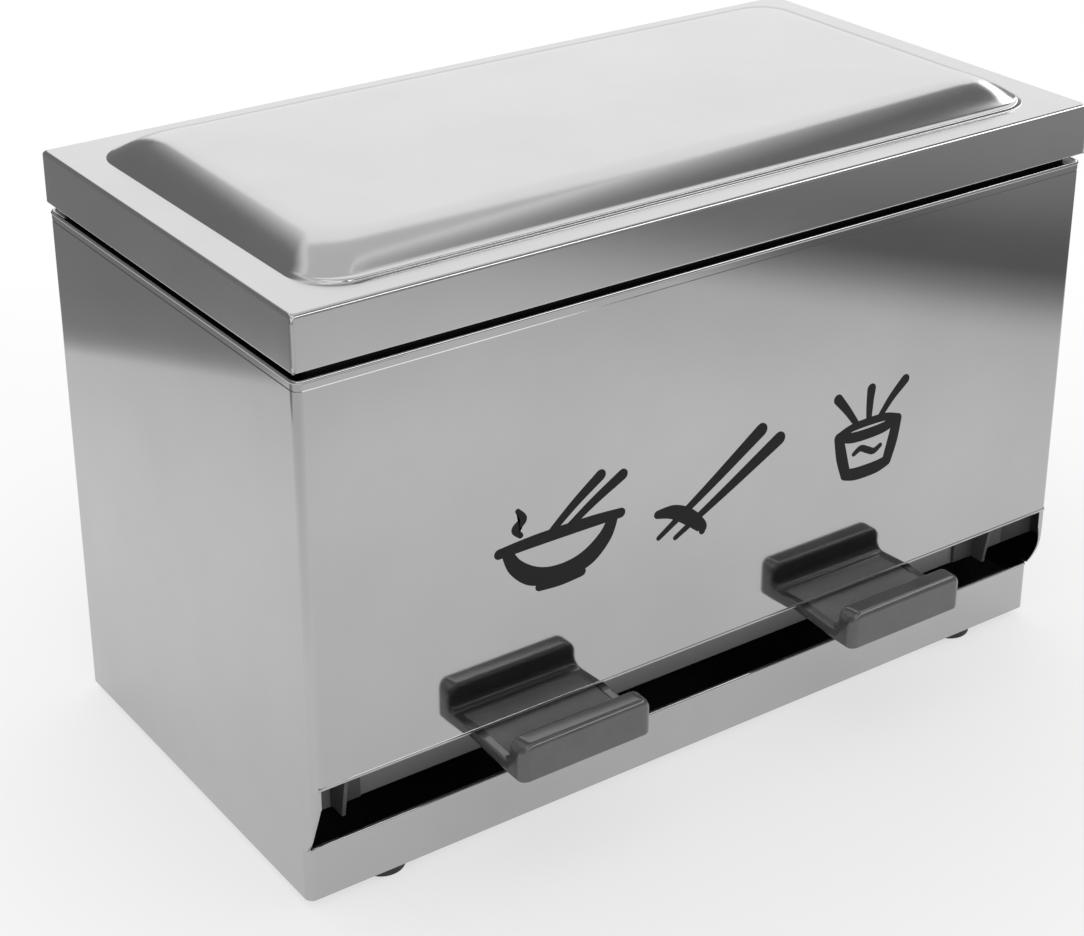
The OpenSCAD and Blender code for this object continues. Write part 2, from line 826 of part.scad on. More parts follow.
// Torsion spring beside a lever's hub
module return_spring(x) {
    sides = 6;
    rings = len(spring_points);
    color(steel)
        translate([x + coil_x, rod_y, rod_z])
            polyhedron(
                points = [for (i = [0 : rings - 1]) each wire_ring(i, sides)],
                faces = concat(
                    [[for (k = [0 : sides - 1]) k]],
                    [for (i = [0 : rings - 2], k = [0 : sides - 1])
                        let (a = i * sides + k, b = i * sides + (k + 1) % sides)
                            [b, a, a + sides]],
                    [for (i = [0 : rings - 2], k = [0 : sides - 1])
                        let (a = i * sides + k, b = i * sides + (k + 1) % sides)
                            [b, a + sides, b + sides]],
                    [[for (k = [sides - 1 : -1 : 0]) (rings - 1) * sides + k]]));
}

// Rubber foot with a rounded tread and a hole for its screw
module foot(x, y) {
    tread_r = 0.8;
    color(rubber)
        translate([x, y, 0])
            difference() {
                rotate_extrude()
                    union() {
                        square([foot_r - tread_r, foot_h]);
                        translate([0, tread_r])
                            square([foot_r, foot_h - tread_r]);
                        translate([foot_r - tread_r, tread_r])
                            circle(tread_r);
                    }
                translate([0, 0, foot_h - screw_depth])
                    cylinder(h = screw_depth + past, r = screw_r + fix_gap);
            }
}

// Screws that hold the feet from inside the base pan
module foot_screws() {
    recess_w = 0.7;
    recess_l = 3.2;
    recess_h = 0.8;
    color(dark_steel)
        for (x = foot_xs, y = foot_ys)
            translate([x, y, foot_h - screw_depth + rest_gap]) {
                cylinder(h = screw_depth - rest_gap + sheet + washer_t, r = screw_r);
                translate([0, 0, screw_depth - rest_gap + sheet + washer_t])
                    difference() {
                        cylinder(h = screw_head_h, r1 = screw_head_r, r2 = screw_head_r - recess_h);
                        for (a = [0, 90])
                            rotate(a)
                                translate([-recess_l / 2, -recess_w / 2, screw_head_h - recess_h])
                                    cube([recess_l, recess_w, past]);
                    }
            }
}

// Washers under the screw heads
module foot_washers() {
    color(steel)
        for (x = foot_xs, y = foot_ys)
            translate([x, y, foot_h + sheet])
                difference() {
                    cylinder(h = washer_t, r = washer_r);
                    translate([0, 0, -past])
                        cylinder(h = washer_t + 2 * past, r = screw_r + fix_gap);
                }
}

body_shell();
back_panel();
base_pan();
neck_frame();
hopper_floor();
lid();
hinge_body_leaf(hinge_xs[0]);  // hinge_body_leaf_left
hinge_body_leaf(hinge_xs[1]);  // hinge_body_leaf_right
hinge_lid_leaf(hinge_xs[0]);  // hinge_lid_leaf_left
hinge_lid_leaf(hinge_xs[1]);  // hinge_lid_leaf_right
hinge_pin(hinge_xs[0]);  // hinge_pin_left
hinge_pin(hinge_xs[1]);  // hinge_pin_right
body_rivets();
lid_rivets();
press_lever(lever_xs[0]);  // press_lever_left
press_lever(lever_xs[1]);  // press_lever_right
pivot_rod();
rod_bracket(-1);  // rod_bracket_left
rod_bracket(1);  // rod_bracket_right
rod_clips();
return_spring(lever_xs[0]);  // return_spring_left
return_spring(lever_xs[1]);  // return_spring_right
foot(foot_xs[0], foot_ys[0]);  // foot_front_left
foot(foot_xs[1], foot_ys[0]);  // foot_front_right
foot(foot_xs[0], foot_ys[1]);  // foot_back_left
foot(foot_xs[1], foot_ys[1]);  // foot_back_right
foot_screws();
foot_washers();
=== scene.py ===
# Chopstick holder with a flip lid: looks, stage, lights and camera
import json
import math

import bmesh
import bpy
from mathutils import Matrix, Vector


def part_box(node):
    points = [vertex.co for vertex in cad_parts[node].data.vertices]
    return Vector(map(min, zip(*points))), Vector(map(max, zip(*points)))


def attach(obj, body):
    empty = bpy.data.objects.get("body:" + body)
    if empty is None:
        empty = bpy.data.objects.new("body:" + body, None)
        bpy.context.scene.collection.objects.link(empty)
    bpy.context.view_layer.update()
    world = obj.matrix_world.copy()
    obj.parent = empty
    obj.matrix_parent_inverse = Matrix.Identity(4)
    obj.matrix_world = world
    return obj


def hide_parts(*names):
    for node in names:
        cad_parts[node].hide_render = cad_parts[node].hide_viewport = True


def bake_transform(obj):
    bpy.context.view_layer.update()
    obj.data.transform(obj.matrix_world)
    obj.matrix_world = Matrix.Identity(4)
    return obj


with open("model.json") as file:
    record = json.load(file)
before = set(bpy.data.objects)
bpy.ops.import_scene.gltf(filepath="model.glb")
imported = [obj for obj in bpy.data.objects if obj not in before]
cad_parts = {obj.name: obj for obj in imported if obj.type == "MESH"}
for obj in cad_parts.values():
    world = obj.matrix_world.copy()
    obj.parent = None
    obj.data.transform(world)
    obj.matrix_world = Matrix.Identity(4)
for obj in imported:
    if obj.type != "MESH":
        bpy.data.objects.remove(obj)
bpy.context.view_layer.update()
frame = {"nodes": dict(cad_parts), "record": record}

nodes = frame["nodes"]
scene = bpy.context.scene
MM = 0.001

# Camera, from the lines of the photograph: metres, degrees, millimetres and shares of the picture's width
CAMERA_PLACE = (-0.3850, -0.5223, 0.4093)
CAMERA_TURN = (65.935, 0.294, -34.573)
CAMERA_LENS = 76.97
CAMERA_SENSOR = 36
CAMERA_SHIFT = (0.0203, -0.1273)
CAMERA_CLIP = (0.01, 50)

# Studio: the compass direction of the middle line, and how far the cards stand beside it, in metres
SWEEP_TURN = math.radians(-35)
SWEEP_HALF = 0.385

# Floor: how plain white it is at the middle, and the distances over which it turns all white
FLOOR_SIZE = 6.0
FLOOR_GREY = 0.94
FLOOR_ROUGH = 0.9
FLOOR_GLOSS = 0.1
PLAIN_LEAST = 0.6
PLAIN_FROM = 0.12
PLAIN_TO = 0.36

# The floor's glow in front darkens by this share over these distances, as painted shade, and behind the
# object it doesn't
POOL_FALL = 0.26
POOL_FROM = 0.22
POOL_TO = 0.50
POOL_BACK = (0.0, 0.35)

# Sky as a light, and as it is seen
SKY_LIGHT = 0.94
SKY_SEEN = 1.0

# Cards: their ends along the middle line, and the brightness at each height in metres
CARD_ENDS = (-1.2, 0.75)
RIGHT_STOPS = (
    (0.0, 0.82), (0.008, 0.68), (0.018, 0.38), (0.030, 0.17), (0.045, 0.19), (0.065, 0.30), (0.10, 0.38),
    (0.20, 0.34), (0.335, 0.27), (0.345, 3.8), (0.45, 3.8), (0.46, 0.18), (0.64, 0.20), (0.95, 0.60),
    (1.30, 1.30),
)
LEFT_STOPS = (
    (0.0, 0.80), (0.005, 0.45), (0.012, 0.33), (0.03, 0.29), (0.10, 0.27), (0.34, 0.24), (0.49, 0.25),
    (0.58, 0.50), (0.70, 0.95), (0.85, 1.20),
)

# Lamps: name, compass direction, rise, distance, width, height, and brightness against white
LAMPS = (
    ("sweep_back", SWEEP_TURN, math.radians(32), 1.2, 1.35, 1.0, 0.5),
    ("soft_top", math.radians(116), math.radians(67), 1.2, 0.35, 0.35, 0.8),
    ("soft_front", SWEEP_TURN + math.pi, math.radians(42), 1.3, 0.7, 0.5, 0.6),
)
LAMP_AIM = (0, 0, 0.1)


# Materials

# Tones are (noise value, share of the grey); scales are blobs to the metre; heights are metres
CLOUD_TONES = ((0.3, 0.965), (0.7, 1.035))
CLOUD_SCALE = 18
HAIR_SCALE = 900
HAIR_HEIGHT = 0.6e-6
WAVE_SCALE = 11
WEAR_TONES = ((0.35, 0.9), (0.68, 1.12))
WEAR_SCALE = 90
WEAR_HAZE = 0.14

# Painted shade at the neck's foot, where the gap under the lid is dark: its share of the grey, the height
# over which it fades out, and its top
NECK_SHADE_SHARE = 0.08
NECK_SHADE_EDGE = 2 * MM
NECK_SHADE_TOP = 170 * MM

# Hairlines run along the axis with the small number
PLAIN_STREAK = (1, 1, 1)
UP_STREAK = (1, 1, 0.02)
LID_STREAK = (0.02, 1, 1)
INNER_STREAK = (0.03, 1, 1)


def new_material(name):
    """An empty node material with one Principled shader."""
    material = bpy.data.materials.new(name)
    material.use_nodes = True
    tree = material.node_tree
    tree.nodes.clear()
    out = tree.nodes.new("ShaderNodeOutputMaterial")
    shader = tree.nodes.new("ShaderNodeBsdfPrincipled")
    tree.links.new(shader.outputs["BSDF"], out.inputs["Surface"])
    return material, tree, shader


def place_node(tree, stretch=PLAIN_STREAK):
    """Object place in metres, stretched for streaks."""
    place = tree.nodes.new("ShaderNodeTexCoord")
    mapping = tree.nodes.new("ShaderNodeMapping")
    mapping.inputs["Scale"].default_value = stretch
    tree.links.new(place.outputs["Object"], mapping.inputs["Vector"])
    return mapping.outputs["Vector"]


def noise(tree, vector, scale, detail, rough=0.5):
    """Noise whose scale is in blobs to the metre."""
    node = tree.nodes.new("ShaderNodeTexNoise")
    node.inputs["Scale"].default_value = scale
    node.inputs["Detail"].default_value = detail
    node.inputs["Roughness"].default_value = rough
    tree.links.new(vector, node.inputs["Vector"])
    return node.outputs["Fac"]


def ramp(tree, value, stops):
    """Colour ramp; stops are (place, grey)."""
    node = tree.nodes.new("ShaderNodeValToRGB")
    elements = node.color_ramp.elements
    while len(elements) < len(stops):
        elements.new(0.5)
    for element, (at, grey) in zip(elements, stops):
        element.position = at
        element.color = (grey, grey, grey, 1)
    tree.links.new(value, node.inputs["Fac"])
    return node.outputs["Color"]


def maths(tree, operation, *values):
    """Math node on sockets or numbers."""
    node = tree.nodes.new("ShaderNodeMath")
    node.operation = operation
    for socket, value in zip(node.inputs, values):
        if isinstance(value, (int, float)):
            socket.default_value = value
        else:
            tree.links.new(value, socket)
    return node.outputs["Value"]


def bump(tree, shader, heights):
    """Chain of bumps; heights are (value, height in metres)."""
    normal = None
    for value, height in heights:
        node = tree.nodes.new("ShaderNodeBump")
        node.inputs["Strength"].default_value = 1.0
        node.inputs["Distance"].default_value = height
        tree.links.new(value, node.inputs["Height"])
        if normal is not None:
            tree.links.new(normal, node.inputs["Normal"])
        normal = node.outputs["Normal"]
    tree.links.new(normal, shader.inputs["Normal"])


def steel(name, grey, rough, streak=PLAIN_STREAK, wave=30e-6, haze=0.04, metal=1.0, shade_top=None):
    """Sheet steel with faint waves, haze and hairlines, and with painted shade below a height if one is
    given.
    """
    material, tree, shader = new_material(name)
    shader.inputs["Metallic"].default_value = metal
    plain = place_node(tree)
    streaked = place_node(tree, streak)
    cloud = noise(tree, plain, CLOUD_SCALE, detail=4, rough=0.6)
    hair = noise(tree, streaked, HAIR_SCALE, detail=2, rough=0.6)
    tone = ramp(tree, cloud, [(at, grey * share) for at, share in CLOUD_TONES])
    # Painted shade: the grey falls to a small share below the given top
    if shade_top is not None:
        split = tree.nodes.new("ShaderNodeSeparateXYZ")
        tree.links.new(plain, split.inputs["Vector"])
        sharp = 1 / NECK_SHADE_EDGE
        above = maths(tree, "MULTIPLY_ADD", split.outputs["Z"], sharp, 1 - sharp * shade_top)
        tone = maths(tree, "MULTIPLY", ramp(tree, above, ((0.0, NECK_SHADE_SHARE), (1.0, 1.0))), tone)
    tree.links.new(tone, shader.inputs["Base Color"])
    dull = maths(tree, "MULTIPLY_ADD", cloud, haze, rough - haze / 2)
    dull = maths(tree, "MULTIPLY_ADD", hair, haze, dull)
    tree.links.new(dull, shader.inputs["Roughness"])
    bump(tree, shader, ((noise(tree, plain, WAVE_SCALE, detail=1), wave), (hair, HAIR_HEIGHT)))
    return material


def plastic(name, grey, rough, grain=6e-6, scale=1600, gloss=0.5):
    """Moulded plastic, rubber or paint with a fine grain and soft wear."""
    material, tree, shader = new_material(name)
    shader.inputs["Specular IOR Level"].default_value = gloss
    plain = place_node(tree)
    wear = noise(tree, plain, WEAR_SCALE, detail=4, rough=0.6)
    fine = noise(tree, plain, scale, detail=2)
    tone = ramp(tree, wear, [(at, grey * share) for at, share in WEAR_TONES])
    tree.links.new(tone, shader.inputs["Base Color"])
    dull = maths(tree, "MULTIPLY_ADD", wear, WEAR_HAZE, rough - WEAR_HAZE / 2)
    tree.links.new(dull, shader.inputs["Roughness"])
    bump(tree, shader, ((fine, grain),))
    return material


mirror_steel = steel("mirror_steel", grey=0.47, rough=0.052, streak=UP_STREAK, haze=0.03)
lid_steel = steel("lid_steel", grey=0.50, rough=0.15, streak=LID_STREAK, wave=20e-6)
inner_steel = steel("inner_steel", grey=0.42, rough=0.34, streak=INNER_STREAK)
# Darker, duller copies of the steel for parts in the slot's shade, as painted shade
hopper_shade_steel = steel("hopper_shade_steel", grey=0.28, rough=0.5, streak=INNER_STREAK, metal=0.35)
bracket_shade_steel = steel("bracket_shade_steel", grey=0.11, rough=0.5, metal=0.35)
shaded_steel = steel("shaded_steel", grey=0.035, rough=0.5)
# The neck's steel has painted shade at its foot, in the dark gap under the lid's rim
neck_steel = steel("neck_steel", grey=0.42, rough=0.34, streak=INNER_STREAK, shade_top=NECK_SHADE_TOP)
fitting_steel = steel("fitting_steel", grey=0.42, rough=0.30, wave=4e-6)
wire_steel = steel("wire_steel", grey=0.50, rough=0.24, wave=2e-6)
lever_grey = plastic("lever_grey", grey=0.072, rough=0.21, gloss=1.0)
# Lighter copy of the lever plastic for the pocket's upward floor: painted light
lever_lit_pocket = plastic("lever_lit_pocket", grey=0.21, rough=0.36)
foot_black = plastic("foot_black", grey=0.022, rough=0.62, grain=14e-6, scale=900)
sign_black = plastic("sign_black", grey=0.011, rough=0.55, grain=2e-6, scale=2400, gloss=0.2)

# Finish of each material slot in the record
FINISHES = {
    "polished_steel": mirror_steel,
    "lid_steel": lid_steel,
    "sheet_steel": inner_steel,
    "hinge_steel": fitting_steel,
    "pin_steel": wire_steel,
    "rivet_steel": fitting_steel,
    "clip_steel": fitting_steel,
    "spring_steel": wire_steel,
    "lever_plastic": lever_grey,
    "foot_rubber": foot_black,
}

# Nodes in the shade of the slot or the lid, given darker copies of the steel in place of their slot's
# finish: painted shade
SHADE_NODE_STEELS = {
    "hopper_floor": hopper_shade_steel,
    "neck_frame": neck_steel,
    "rod_bracket_left": bracket_shade_steel,
    "rod_bracket_right": bracket_shade_steel,
    "rod_clips": shaded_steel,
}


def finish_nodes():
    """Gives each CAD node in the shade its own darker copy of the steel, as painted shade, or else the
    finish of its slot in the record.
    """
    slot_of = {part["node"]: part["material_slot"] for part in frame["record"]["subparts"]}
    for name, piece in nodes.items():
        slot = slot_of.get(name)
        material = SHADE_NODE_STEELS.get(name) or FINISHES.get(slot, inner_steel)
        if piece.material_slots:
            for holder in piece.material_slots:
                holder.material = material
        else:
            piece.data.materials.append(material)


finish_nodes()


# Mesh helpers

def add_mesh(name, mesh, material, body):
    """Puts a mesh in the scene with its finish, on a CAD body."""
    piece = bpy.data.objects.new(name, mesh)
    scene.collection.objects.link(piece)
    piece.data.materials.append(material)
    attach(piece, body)
    return piece


def mesh_from_rings(name, rings):
    """Skin over rings of equal counts, with the last ring filled."""
    mesh = bpy.data.meshes.new(name)
    build = bmesh.new()
    rows = [[build.verts.new(point) for point in ring] for ring in rings]
    for low, high in zip(rows, rows[1:]):
        count = len(low)
        for i in range(count):
            j = (i + 1) % count
            build.faces.new((low[i], low[j], high[j], high[i]))
    build.faces.new(rows[-1])
    bmesh.ops.recalc_face_normals(build, faces=build.faces)
    build.to_mesh(mesh)
    build.free()
    mesh.shade_smooth()
    return mesh


# Lid: a smooth pressed skin over the CAD lid's box

LID_SIDE = 16 * MM
LID_SHEET = 0.8 * MM
LID_EDGE = 1.1 * MM
LID_HEM = 0.5 * MM
LID_CORNER = 1.4 * MM
LID_PROUD = 0.5 * MM
PANEL_INSET = (12.7 * MM, 9.4 * MM)
PANEL_CORNER = 12 * MM
PANEL_TIGHTEN = 2 * MM
STEP_RISE = 1.0 * MM
STEP_ROUND = 0.4 * MM
STEP_RUN = 2.0 * MM
TREAD_CLIMB = 0.1 * MM
TREAD_SHARE = 0.85
DOME_CROWN = 0.35 * MM
DOME_SLOPE = math.radians(38)
DOME_BEND = 23 * MM
CROWN_REACH = 0.94

# Distance of the extra rows that keep an edge crisp, and the steps of each stretch
SUPPORT = 0.12 * MM
ARC_STEPS = 6
CORNER_STEPS = 14
SIDE_STEPS = (48, 24)
SLOPE_STEPS = 4
BEND_STEPS = 16
CROWN_STEPS = 10


def rounded_ring(half_x, half_y, radius, middle_y, height):
    """Rounded rectangle as a ring of points with a fixed count, from the right front corner on."""
    points = []
    corners = ((1, -1, -90), (1, 1, 0), (-1, 1, 90), (-1, -1, 180))
    for index, (sx, sy, start) in enumerate(corners):
        cx = sx * (half_x - radius)
        cy = sy * (half_y - radius)
        angles = [math.radians(start + 90 * k / CORNER_STEPS) for k in range(CORNER_STEPS + 1)]
        points += [(cx + radius * math.cos(a), cy + radius * math.sin(a)) for a in angles]
        last_x, last_y = points[-1]
        nx, ny, next_start = corners[(index + 1) % 4]
        next_angle = math.radians(next_start)
        next_x = nx * (half_x - radius) + radius * math.cos(next_angle)
        next_y = ny * (half_y - radius) + radius * math.sin(next_angle)
        steps = SIDE_STEPS[(index + 1) % 2]
        for k in range(1, steps):
            t = k / steps
            points.append((last_x * (1 - t) + next_x * t, last_y * (1 - t) + next_y * t))
    return [(x, y + middle_y, height) for x, y in points]


def quarter(radius):
    """Sine and versed sine of a quarter bend's steps, times its radius."""
    for k in range(ARC_STEPS + 1):
        a = math.pi / 2 * k / ARC_STEPS
        yield radius * math.sin(a), radius * (1 - math.cos(a))


def lid_profile(rim, dome_top):
    """Rows of the lid's section from its lower edge inward: inset in x and y, corner radius, height."""
    low = rim - LID_SIDE
    px, py = PANEL_INSET
    rows = []

    # Hem, side and top edge
    for along_arc, off in quarter(LID_HEM):
        rows.append((LID_HEM - along_arc, LID_HEM - along_arc, LID_CORNER, low + off))
    rows.append((0, 0, LID_CORNER, low + LID_HEM + SUPPORT))
    rows.append((0, 0, LID_CORNER, rim - LID_EDGE - SUPPORT))
    for up, off in quarter(LID_EDGE):
        rows.append((off, off, LID_CORNER, rim - LID_EDGE + up))
    rows.append((LID_EDGE + SUPPORT, LID_EDGE + SUPPORT, LID_CORNER, rim))

    # Step round the panel, which at the sides runs on into the slope
    wide = PANEL_CORNER + STEP_RUN
    lean = math.tan(DOME_SLOPE)
    foot = px - STEP_RISE / lean
    rows.append((foot - SUPPORT, py - STEP_ROUND - SUPPORT, wide + STEP_ROUND, rim))
    for out, up in quarter(STEP_ROUND):
        rows.append((foot + up / lean, py - STEP_ROUND + out, wide, rim + up))
    top = rim + STEP_RISE
    for up, off in quarter(STEP_ROUND):
        rows.append((px - (STEP_ROUND - up) / lean, py + off, wide, top - STEP_ROUND + up))
    up = TREAD_CLIMB * TREAD_SHARE
    rows.append((px + up / lean, py + STEP_RUN - SUPPORT, PANEL_CORNER + SUPPORT, top + up))

    # Straight slope of the panel, and the bend that eases it into the crown
    rise = dome_top - top - DOME_CROWN
    slope_rise = rise - DOME_BEND * (1 - math.cos(DOME_SLOPE))
    for k in range(SLOPE_STEPS + 1):
        up = TREAD_CLIMB + (slope_rise - TREAD_CLIMB) * k / SLOPE_STEPS
        rows.append((px + up / lean, py + STEP_RUN + up / lean, PANEL_CORNER, top + up))
    for k in range(1, BEND_STEPS + 1):
        a = DOME_SLOPE * (1 - k / BEND_STEPS)
        inset = slope_rise / lean + DOME_BEND * (math.sin(DOME_SLOPE) - math.sin(a))
        height = top + rise - DOME_BEND * (1 - math.cos(a))
        corner = PANEL_CORNER - PANEL_TIGHTEN * k / BEND_STEPS
        rows.append((px + inset, py + STEP_RUN + inset, corner, height))
    return rows


def make_lid():
    """Lid as one pressed sheet, from its hem to the middle of its crown."""
    low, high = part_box("lid")
    half_x = (high.x - low.x) / 2
    half_y = (high.y - low.y) / 2
    middle_y = (high.y + low.y) / 2
    rows = lid_profile(low.z + LID_SIDE, high.z)
    rings = [rounded_ring(half_x - dx, half_y - dy, corner, middle_y, z) for dx, dy, corner, z in rows]
    dx, dy, corner, top = rows[-1]
    crown_x = half_x - dx
    crown_y = half_y - dy
    for k in range(1, CROWN_STEPS + 1):
        t = CROWN_REACH * k / CROWN_STEPS
        shrink = crown_y * t
        height = top + DOME_CROWN * math.sin(t * math.pi / 2) ** 2
        rings.append(rounded_ring(crown_x - shrink, crown_y - shrink, corner * (1 - t), middle_y, height))
    mesh = mesh_from_rings("lid_skin", rings)
    piece = add_mesh("lid_skin", mesh, lid_steel, "lid")
    thick = piece.modifiers.new("sheet", "SOLIDIFY")
    thick.thickness = LID_SHEET
    thick.offset = -1
    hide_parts("lid")


make_lid()


# Trim: thin beads where the body's sheet is folded, and seams at the lid's corners

SHELL_LOW, SHELL_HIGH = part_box("body_shell")
FRONT_Y = SHELL_LOW.y
BODY_TOP = SHELL_HIGH.z
SLOT_TOP = 42.7 * MM
SLOT_BOTTOM = 20.2 * MM
PLINTH_Y = FRONT_Y + 6 * MM
BODY_BEND = 2.5 * MM
BEAD_SIDES = 12
STEEP = 0.9
BEAD_STEPS = 24
BEAD_RADIUS = 0.7 * MM
BEAD_PROUD = 0.2 * MM
BEAD_INSET = 1.4 * MM
SEAM_STEPS = 8
SEAM_RADIUS = 0.45 * MM
SEAM_FOOT = 0.1 * MM
SEAM_HEAD = 0.66 * MM


def straight(start, end, steps):
    """Points on a straight line."""
    return [tuple(Vector(start).lerp(Vector(end), k / steps)) for k in range(steps + 1)]


def bead(name, path, radius, material, body, closed=False):
    """Round bead along a path of points."""
    mesh = bpy.data.meshes.new(name)
    build = bmesh.new()
    count = len(path)
    rings = []
    for i, point in enumerate(path):
        before = path[i - 1] if (i or closed) else path[i]
        after = path[(i + 1) % count] if (i < count - 1 or closed) else path[i]
        ahead = (Vector(after) - Vector(before)).normalized()
        up = Vector((0, 0, 1)) if abs(ahead.z) < STEEP else Vector((0, 1, 0))
        side = ahead.cross(up).normalized()
        up = side.cross(ahead)
        ring = []
        for k in range(BEAD_SIDES):
            a = 2 * math.pi * k / BEAD_SIDES
            across = side * radius * math.cos(a)
            upward = up * radius * math.sin(a)
            ring.append(build.verts.new(Vector(point) + across + upward))
        rings.append(ring)
    pairs = list(zip(rings, rings[1:]))
    if closed:
        pairs.append((rings[-1], rings[0]))
    for first, second in pairs:
        for k in range(BEAD_SIDES):
            m = (k + 1) % BEAD_SIDES
            build.faces.new((first[k], first[m], second[m], second[k]))
    if not closed:
        build.faces.new(rings[0])
        build.faces.new(rings[-1])
    bmesh.ops.recalc_face_normals(build, faces=build.faces)
    build.to_mesh(mesh)
    build.free()
    mesh.shade_smooth()
    add_mesh(name, mesh, material, body)


def make_beads():
    """Rolled edges round the body's top and along both edges of the slot."""
    half_x = SHELL_HIGH.x
    half_y = (SHELL_HIGH.y - SHELL_LOW.y) / 2
    middle_y = (SHELL_HIGH.y + SHELL_LOW.y) / 2
    sunk = BEAD_RADIUS - BEAD_PROUD
    ring = rounded_ring(half_x - sunk, half_y - sunk, BODY_BEND - sunk, middle_y, BODY_TOP - sunk)
    bead("top_bead", ring, BEAD_RADIUS, mirror_steel, "body", closed=True)
    ends = half_x - BEAD_INSET
    edges = (
        ("panel_bead", FRONT_Y + sunk, SLOT_TOP + sunk),
        ("plinth_bead", PLINTH_Y + sunk, SLOT_BOTTOM - sunk),
    )
    for name, y, z in edges:
        path = straight((-ends, y, z), (ends, y, z), BEAD_STEPS)
        bead(name, path, BEAD_RADIUS, mirror_steel, "body")


def make_seams():
    """Welded seams at the lid's front corners."""
    low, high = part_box("lid")
    y = FRONT_Y - LID_PROUD + SEAM_RADIUS
    foot = low.z + SEAM_FOOT
    head = low.z + LID_SIDE - SEAM_HEAD
    for side, x in (("left", low.x + SEAM_RADIUS), ("right", high.x - SEAM_RADIUS)):
        path = straight((x, y, foot), (x, y, head), SEAM_STEPS)
        bead("lid_seam_front_" + side, path, SEAM_RADIUS, lid_steel, "lid")


make_beads()
make_seams()


# Press levers: smooth moulded skins in place of the CAD levers

LIP_THICK = 7 * MM
LIP_HIGH = 8.1 * MM
LIP_FRONT_ROUND = 1.7 * MM
LIP_BACK_ROUND = 1.3 * MM
LIP_LOW_ROUND = 0.7 * MM
FLOOR_THICK = 3.3 * MM
FLOOR_GAP = 1.2 * MM
FLOOR_SLOPE = math.tan(math.radians(3.5))
FLOOR_END = FRONT_Y + 17.4 * MM
FLOOR_REAR = FLOOR_END - 0.4 * MM
FLOOR_LIFT = 0.02 * MM
HOLLOW = 3 * MM
POCKET_DEEP = 0.4 * MM
POCKET_INSET = 2.8 * MM
POCKET_FRONT = 0.4 * MM
POCKET_EDGE = 0.3 * MM
POCKET_RAMP = 0.2 * MM
# Painted light on the pocket starts this far in from each end
LIT_POCKET_INSET = 2.9 * MM

# Hub on the rod, finger and ribs
ROD_Y = FRONT_Y + 13.5 * MM
ROD_Z = SLOT_TOP - 6.5 * MM
HUB = 3.4 * MM
HUB_HALF = 14 * MM
HUB_STEPS = 40
BORE = 1.55 * MM
WEB_INSET = 2.2 * MM
SUNK_IN = 0.5 * MM
HOPPER_Y = FRONT_Y + 18.3 * MM
FINGER_Y = ROD_Y + 17 * MM
FINGER_ROOT = ROD_Z - HUB + 0.6 * MM
FINGER_HALF = 6 * MM
FINGER_BEVEL = 0.9 * MM
FINGER_CUT = 2.5 * MM
TIP_Z = 44.99 * MM
RIB_HALF = 0.8 * MM
RIB_STEP = 13.2 * MM
RIB_ROOT = ROD_Z - HUB + 0.8 * MM
RIB_FRONT = 2 * MM
RIB_DROP = 0.3 * MM

# Rounded ends: radius at each place of the section, and the lip's thickness below which its edges thin
END_FRONT = 3.0 * MM
END_BACK = 1.6 * MM
END_TOP = 3.8 * MM
END_BASE = 0.8 * MM
END_FLOOR = 0.5 * MM
THIN_LIP = 3.1 * MM

# Rows near an end, in mm from it; between them lies one even stretch, past all rounding
END_ROWS = (0, 0.05, 0.15, 0.35, 0.6, 0.9, 1.3, 1.75, 2.25, 2.7, 2.8, 3.0, 3.1, 3.5, 3.9, 4.3)
MIDDLE_STEPS = 8
FAR_IN = 1.0


def lever_floor(y):
    """Height of the lever's sloping floor."""
    return SLOT_TOP - FLOOR_GAP + (y - FRONT_Y) * FLOOR_SLOPE


def round_in(t, radius):
    """How far a rounded end has drawn in at the distance t from its end."""
    if t >= radius:
        return 0.0
    return radius - math.sqrt(radius ** 2 - (radius - t) ** 2)


def arc_points(cy, cz, radius, start, end, steps=5):
    """Points of an arc about (cy, cz), from one angle to another in degrees."""
    for k in range(steps + 1):
        a = math.radians(start + (end - start) * k / steps)
        yield cy + radius * math.cos(a), cz + radius * math.sin(a)


def lever_ring(t, lip_y):
    """Section of a lever at the distance t from its end, as points (y, z) from the rear underside on."""
    trough = lip_y + LIP_THICK
    front = lip_y + round_in(t, END_FRONT)
    back = trough - round_in(t, END_BACK)
    top = lever_floor(trough) + LIP_HIGH - round_in(t, END_TOP)
    lift = round_in(t, END_BASE)
    base = lever_floor(lip_y) - FLOOR_THICK + lift
    drop = round_in(t, END_FLOOR)
    squeeze = min(1.0, (back - front) / THIN_LIP)
    front_round = LIP_FRONT_ROUND * squeeze
    back_round = LIP_BACK_ROUND * squeeze
    points = [(FLOOR_REAR, lever_floor(FLOOR_REAR) - FLOOR_THICK + lift), (trough, base + FLOOR_LIFT)]
    points += arc_points(front + LIP_LOW_ROUND, base + LIP_LOW_ROUND, LIP_LOW_ROUND, 270, 180)
    points.append((front, base + LIP_LOW_ROUND + SUPPORT))
    points.append((front, top - front_round - SUPPORT))
    points += arc_points(front + front_round, top - front_round, front_round, 180, 90, steps=7)
    points += arc_points(back - back_round, top - back_round, back_round, 90, 0, steps=6)
    floor = lever_floor(trough + HOLLOW) - drop
    points += arc_points(back + HOLLOW, floor + HOLLOW, HOLLOW, 180, 270, steps=8)
    dip = POCKET_DEEP * min(1.0, max(0.0, (t - POCKET_INSET) / POCKET_RAMP))
    pocket_front = trough + HOLLOW + POCKET_FRONT
    pocket_rear = FLOOR_END - POCKET_INSET
    for y, share in ((pocket_front, 0), (pocket_front + POCKET_EDGE, 1),
                     (pocket_rear - POCKET_EDGE, 1), (pocket_rear, 0), (FLOOR_REAR, 0)):
        points.append((y, lever_floor(y) - drop - dip * share))
    return points


